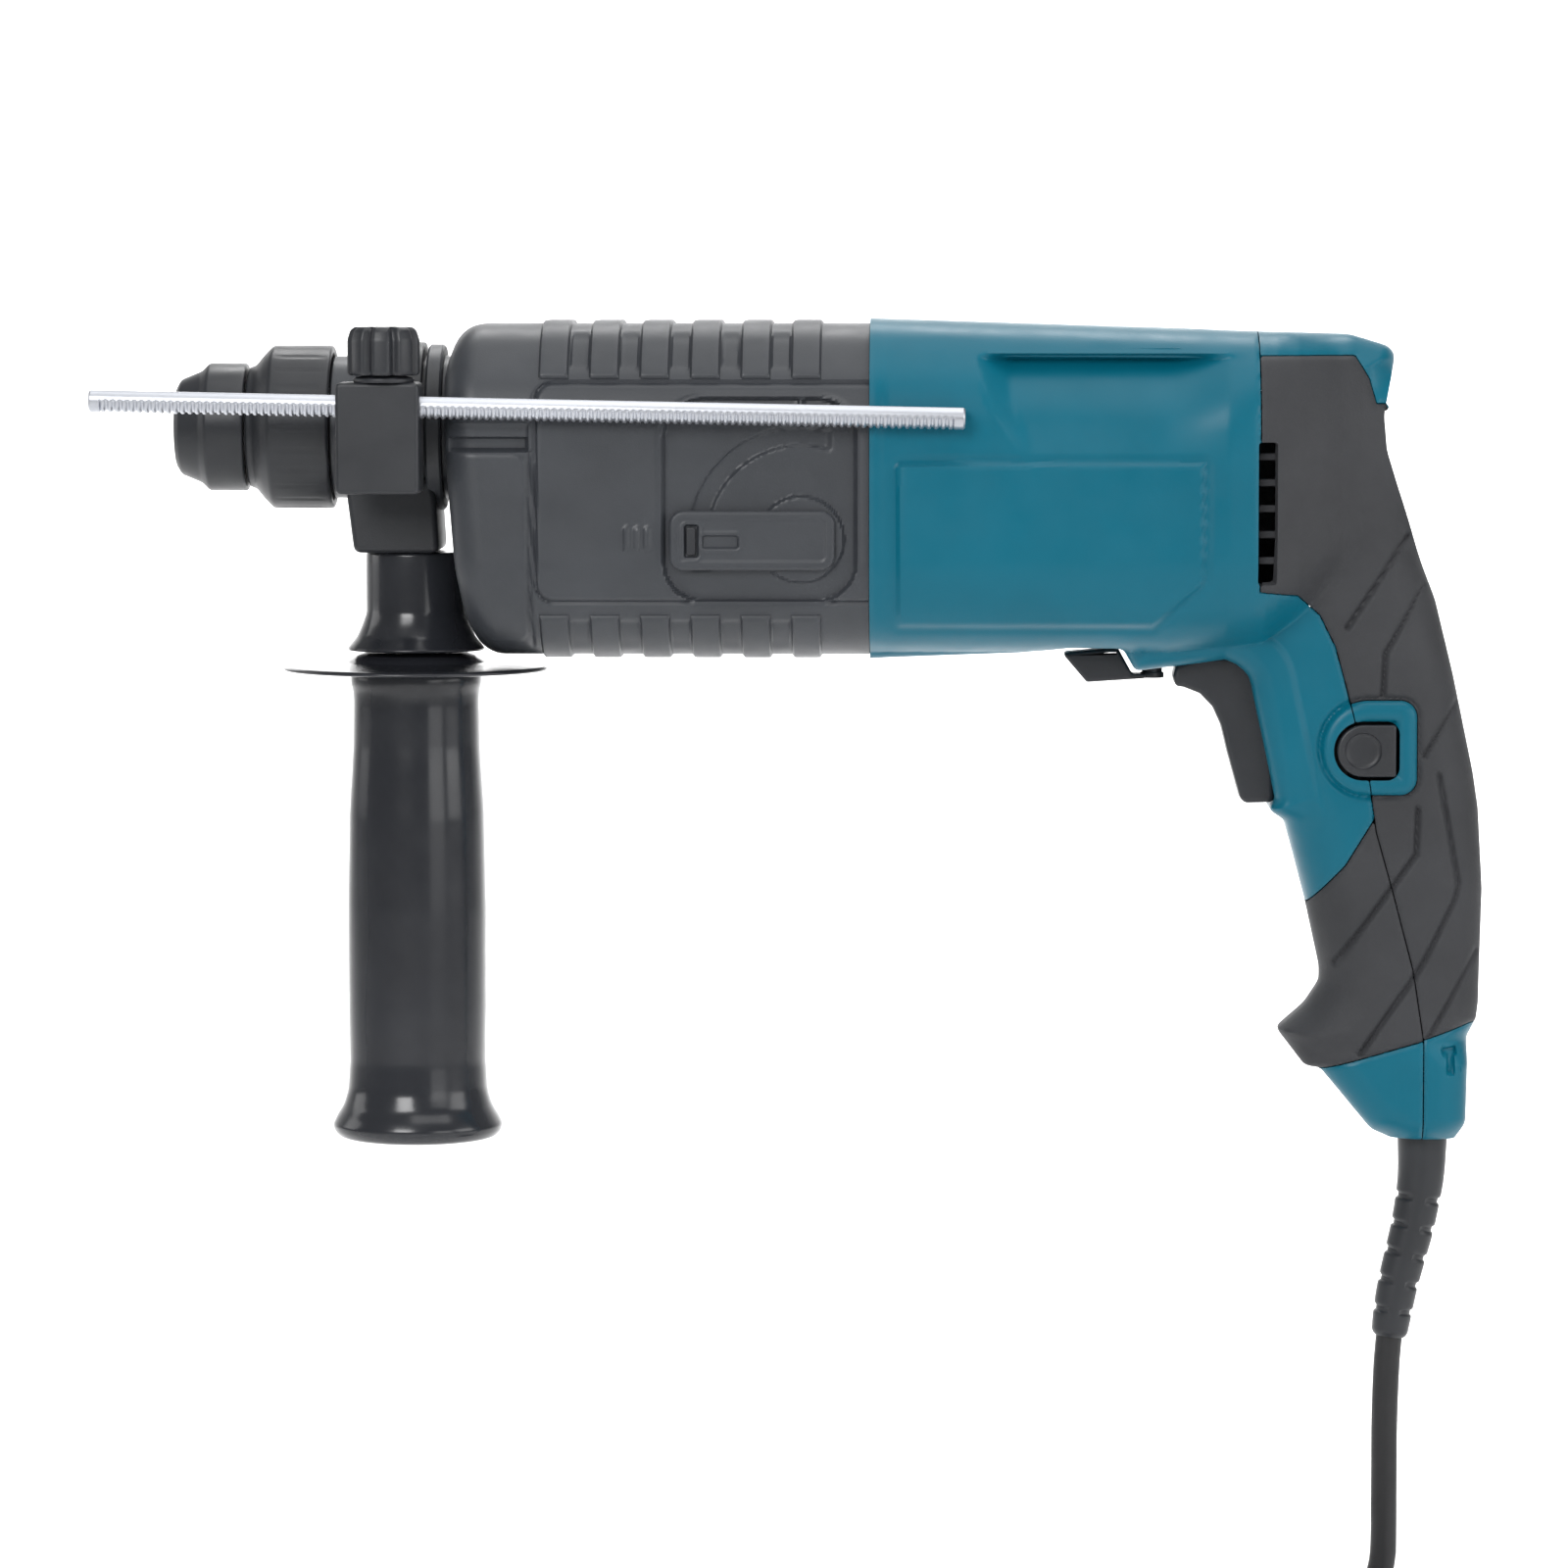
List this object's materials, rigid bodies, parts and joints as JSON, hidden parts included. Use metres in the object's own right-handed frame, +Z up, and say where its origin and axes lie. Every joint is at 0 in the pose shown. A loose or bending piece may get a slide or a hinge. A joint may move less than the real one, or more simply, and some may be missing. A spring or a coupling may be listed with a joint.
{
  "type": "rotary hammer",
  "caption": "Corded rotary hammer with pistol grip, spring-locked tool holder, side handle, hand guard and toothed depth rod; geared spindle, swash drive and motor inside.",
  "frame": {"origin": "the seat for the web of the hand, on the back of the grip, at the height of the spindle axis", "axes": "+Z up with the grip hanging down, +X from the nose to the rear along the spindle axis, Y across, with the mode lever on the -Y side"},
  "size_m": [0.404, 0.1372, 0.4107],
  "materials": {
    "gear_plastic": "satin moulded plastic",
    "teal_plastic": "fine textured moulded plastic",
    "soft_rubber": "matt soft rubber",
    "black_plastic": "satin moulded plastic",
    "gloss_black": "glossy moulded plastic",
    "zinc_steel": "bright zinc plate",
    "steel": "ground steel",
    "cast_alloy": "die cast",
    "copper": "copper",
    "brass": "brass",
    "carbon": "pressed carbon",
    "cord_rubber": "smooth rubber"
  },
  "bodies": {
    "housing": {"gear_housing": "gear_plastic", "rib_pads": "gear_plastic", "motor_housing": "teal_plastic", "front_grip_pad": "soft_rubber", "rear_cover": "teal_plastic", "rear_grip_pad": "soft_rubber", "bearing_plate": "cast_alloy", "baffle_ring": "black_plastic", "front_bearing": "steel", "oil_seal": "soft_rubber", "barrel_bearing": "steel", "shaft_bearings": "steel", "armature_bearings": "steel", "stator_core": "steel", "stator_coils": "copper", "brush_holders": "brass", "carbon_brushes": "carbon", "switch_body": "black_plastic", "housing_screws": "zinc_steel", "cover_screws": "zinc_steel", "cord_guard": "cord_rubber", "cord": "cord_rubber", "cord_coil": "cord_rubber", "cord_tail": "cord_rubber", "plug": "cord_rubber", "coil_tie": "cord_rubber"},
    "spindle": {"tool_holder": "steel", "nose_cap": "soft_rubber", "locking_balls": "steel", "spindle_gear": "steel", "sleeve_spring": "steel"},
    "release_sleeve": {"release_sleeve": "gloss_black"},
    "impact_bolt": {"impact_bolt": "steel"},
    "striker": {"striker": "steel"},
    "piston": {"piston": "cast_alloy"},
    "piston_pin": {"piston_pin": "steel"},
    "swash_ring": {"swash_ring": "steel"},
    "intermediate_shaft": {"intermediate_shaft": "steel", "swash_race": "steel", "drive_gear": "steel"},
    "clutch_sleeve": {"clutch_sleeve": "steel"},
    "shift_plate": {"shift_plate": "steel"},
    "armature": {"armature_shaft": "steel", "armature_core": "steel", "commutator": "copper", "cooling_fan": "black_plastic"},
    "mode_lever": {"mode_lever": "gear_plastic"},
    "mode_catch": {"mode_catch": "black_plastic"},
    "trigger": {"trigger": "black_plastic"},
    "lock_button": {"lock_button": "black_plastic"},
    "reversing_lever": {"reversing_lever": "black_plastic"},
    "handle_collar": {"handle_collar": "gear_plastic", "handle_stem": "gloss_black"},
    "side_grip": {"side_grip": "gloss_black", "hand_guard": "gloss_black", "clamp_bolt": "zinc_steel"},
    "thumb_knob": {"thumb_knob": "gloss_black"},
    "depth_rod": {"depth_rod": "zinc_steel"}
  },
  "joints": [
    {"name": "spindle_spin", "type": "hinge", "parent": "housing", "child": "spindle", "pos_m": [-0.25, 0, 0], "axis": [1, 0, 0], "continuous": true},
    {"name": "shaft_spin", "type": "hinge", "parent": "housing", "child": "intermediate_shaft", "pos_m": [-0.18, 0, -0.0305], "axis": [1, 0, 0], "continuous": true},
    {"name": "armature_spin", "type": "hinge", "parent": "housing", "child": "armature", "pos_m": [-0.1, 0, -0.0145], "axis": [1, 0, 0], "continuous": true},
    {"name": "sleeve_pull", "type": "slide", "parent": "spindle", "child": "release_sleeve", "axis": [1, 0, 0], "range_m": [0, 0.006], "stiffness_N_per_m": 1500, "deforming": ["sleeve_spring"]},
    {"name": "bolt_travel", "type": "slide", "parent": "spindle", "child": "impact_bolt", "axis": [1, 0, 0], "range_m": [0, 0.01]},
    {"name": "striker_travel", "type": "slide", "parent": "housing", "child": "striker", "axis": [1, 0, 0], "range_m": [-0.013, 0.006]},
    {"name": "swash_rock", "type": "hinge", "parent": "housing", "child": "swash_ring", "pos_m": [-0.172, 0, -0.0305], "axis": [0, 1, 0], "range_deg": [-12, 12]},
    {"name": "piston_stroke", "type": "slide", "parent": "housing", "child": "piston", "axis": [1, 0, 0], "range_m": [-0.0065, 0.0065]},
    {"name": "pin_turn", "type": "hinge", "parent": "piston", "child": "piston_pin", "pos_m": [-0.172, 0, 0], "axis": [0, 1, 0], "range_deg": [-13, 13]},
    {"name": "mode_turn", "type": "hinge", "parent": "housing", "child": "mode_lever", "pos_m": [-0.1625, -0.04, -0.0303], "axis": [0, 1, 0], "range_deg": [0, 90]},
    {"name": "mode_catch_press", "type": "slide", "parent": "mode_lever", "child": "mode_catch", "axis": [0, 1, 0], "range_m": [0, 0.0012], "stiffness_N_per_m": 800},
    {"name": "shift_travel", "type": "slide", "parent": "housing", "child": "shift_plate", "axis": [1, 0, 0], "range_m": [0, 0.0043]},
    {"name": "clutch_travel", "type": "slide", "parent": "intermediate_shaft", "child": "clutch_sleeve", "axis": [1, 0, 0], "range_m": [0, 0.0043]},
    {"name": "trigger_pull", "type": "slide", "parent": "housing", "child": "trigger", "axis": [1, 0, 0], "range_m": [0, 0.007], "stiffness_N_per_m": 900},
    {"name": "lock_press", "type": "slide", "parent": "housing", "child": "lock_button", "axis": [0, 1, 0], "range_m": [0, 0.0035], "stiffness_N_per_m": 800},
    {"name": "reverse_turn", "type": "hinge", "parent": "housing", "child": "reversing_lever", "pos_m": [-0.064, 0, -0.066], "axis": [0, 0, 1], "range_deg": [-12, 12]},
    {"name": "collar_swivel", "type": "hinge", "parent": "housing", "child": "handle_collar", "pos_m": [-0.278, 0, 0], "axis": [1, 0, 0], "range_deg": [-180, 6]},
    {"name": "grip_twist", "type": "hinge", "parent": "handle_collar", "child": "side_grip", "pos_m": [-0.2722, 0, -0.1], "axis": [0, 0, 1], "continuous": true},
    {"name": "knob_turn", "type": "hinge", "parent": "handle_collar", "child": "thumb_knob", "pos_m": [-0.2775, -0.044, 0.02], "axis": [0, 0, 1], "continuous": true},
    {"name": "rod_slide", "type": "slide", "parent": "handle_collar", "child": "depth_rod", "axis": [0.9998, 0, -0.0197], "range_m": [-0.06, 0.06]}
  ],
  "couplings": [
    {"joint": "shaft_spin", "follows": "spindle_spin", "ratio": -4.0833},
    {"joint": "armature_spin", "follows": "spindle_spin", "ratio": 17.694},
    {"joint": "piston_stroke", "follows": "swash_rock", "m_per_rad": 0.0305},
    {"joint": "pin_turn", "follows": "swash_rock", "ratio": 1},
    {"joint": "shift_travel", "follows": "mode_turn", "m_per_rad": 0.0027},
    {"joint": "clutch_travel", "follows": "mode_turn", "m_per_rad": 0.0027}
  ]
}
